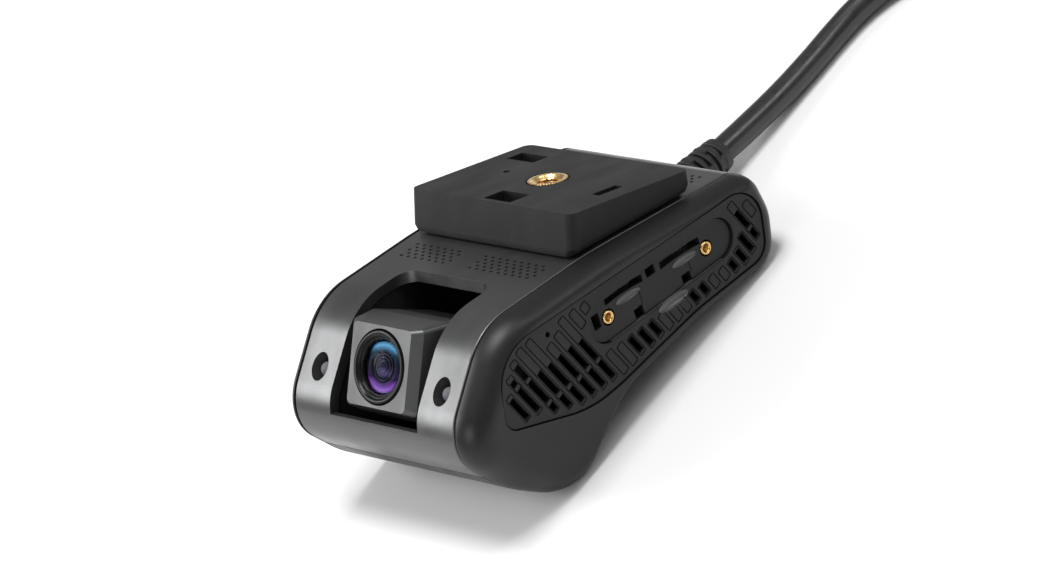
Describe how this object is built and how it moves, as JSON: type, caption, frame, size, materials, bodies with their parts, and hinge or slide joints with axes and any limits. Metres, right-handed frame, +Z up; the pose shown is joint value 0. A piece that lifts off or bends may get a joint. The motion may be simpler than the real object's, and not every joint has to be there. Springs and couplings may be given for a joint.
{
  "type": "dash camera",
  "caption": "Dash camera with a wrap-around front band, a tilting lens module in a pocket, a slotted side panel, a wedge-shaped mount block and a captive cable coiled behind it.",
  "frame": {"origin": "on the table, under the middle of the camera body without its cable", "axes": "+X to the camera's right-hand side, +Y from the lens to the cable, +Z up from the table"},
  "size_m": [0.0738, 0.2795, 0.0427],
  "materials": {
    "band_paint": "satin dark grey metallic paint on moulded plastic",
    "black_plastic": "fine matte texture",
    "panel_plastic": "matte, slightly lighter than the cheek",
    "block_plastic": "fine matte texture",
    "module_paint": "satin grey metallic paint",
    "gloss_black": "satin black, ridged",
    "brass": "machined, bright",
    "steel": "plated",
    "aluminium": "as cut",
    "lens_glass": "coated, blue and violet reflections",
    "circuit_board": "green solder mask",
    "rubber": "satin black",
    "cable_jacket": "smooth, softly glossy",
    "ceramic": "fired ceramic",
    "nylon": "natural nylon"
  },
  "bodies": {
    "camera_body": {"top_band": "band_paint", "bottom_shell": "black_plastic", "right_cheek": "black_plastic", "left_cover": "black_plastic", "camera_well": "black_plastic", "reset_switch": "black_plastic", "speaker": "black_plastic", "cable_strap": "black_plastic", "plug_housing": "black_plastic", "case_screw_1": "steel", "case_screw_2": "steel", "case_screw_3": "steel", "case_screw_4": "steel", "mount_pin_1": "steel", "mount_pin_2": "steel", "mount_pin_3": "steel", "mount_pin_4": "steel", "microsd_socket": "steel", "sim_socket": "steel", "side_panel": "panel_plastic", "card_bay": "panel_plastic", "bay_insert_front": "brass", "bay_insert_rear": "brass", "tripod_insert": "brass", "plug_contact_1": "brass", "plug_contact_2": "brass", "plug_contact_3": "brass", "plug_contact_4": "brass", "main_board": "circuit_board", "lte_antenna": "circuit_board", "lamp_board_left": "circuit_board", "lamp_board_right": "circuit_board", "heat_spreader": "aluminium", "backup_cell": "aluminium", "gps_antenna": "ceramic", "ir_lamp_left": "lens_glass", "ir_lamp_right": "lens_glass", "mount_block": "block_plastic", "mount_base": "block_plastic", "cable_gland": "rubber", "cable_run": "cable_jacket", "cable_tail": "cable_jacket", "cable_coil": "cable_jacket"},
    "lens_module": {"module_front": "module_paint", "module_rear": "black_plastic", "tilt_pin_left": "steel", "tilt_pin_right": "steel", "friction_washer_left": "nylon", "friction_washer_right": "nylon", "lens_ring": "gloss_black", "front_glass": "lens_glass", "lens_barrel": "black_plastic", "inner_lens": "lens_glass", "sensor_board": "circuit_board"},
    "reset_button": {"reset_button": "nylon"},
    "plug_latch": {"plug_latch": "black_plastic"}
  },
  "joints": [
    {"name": "lens_tilt", "type": "hinge", "parent": "camera_body", "child": "lens_module", "pos_m": [-0.0021, -0.02552, 0.02473], "axis": [-1, 0, 0], "range_deg": [-20, 45]},
    {"name": "reset_press", "type": "slide", "parent": "camera_body", "child": "reset_button", "axis": [-1, 0, 0], "range_m": [0, 0.0005], "stiffness_N_per_m": 300},
    {"name": "latch_press", "type": "hinge", "parent": "camera_body", "child": "plug_latch", "pos_m": [0.0202, 0.2223, 0.0099], "axis": [1, 0, 0], "range_deg": [0, 5], "stiffness_Nm_per_rad": 0.05}
  ]
}
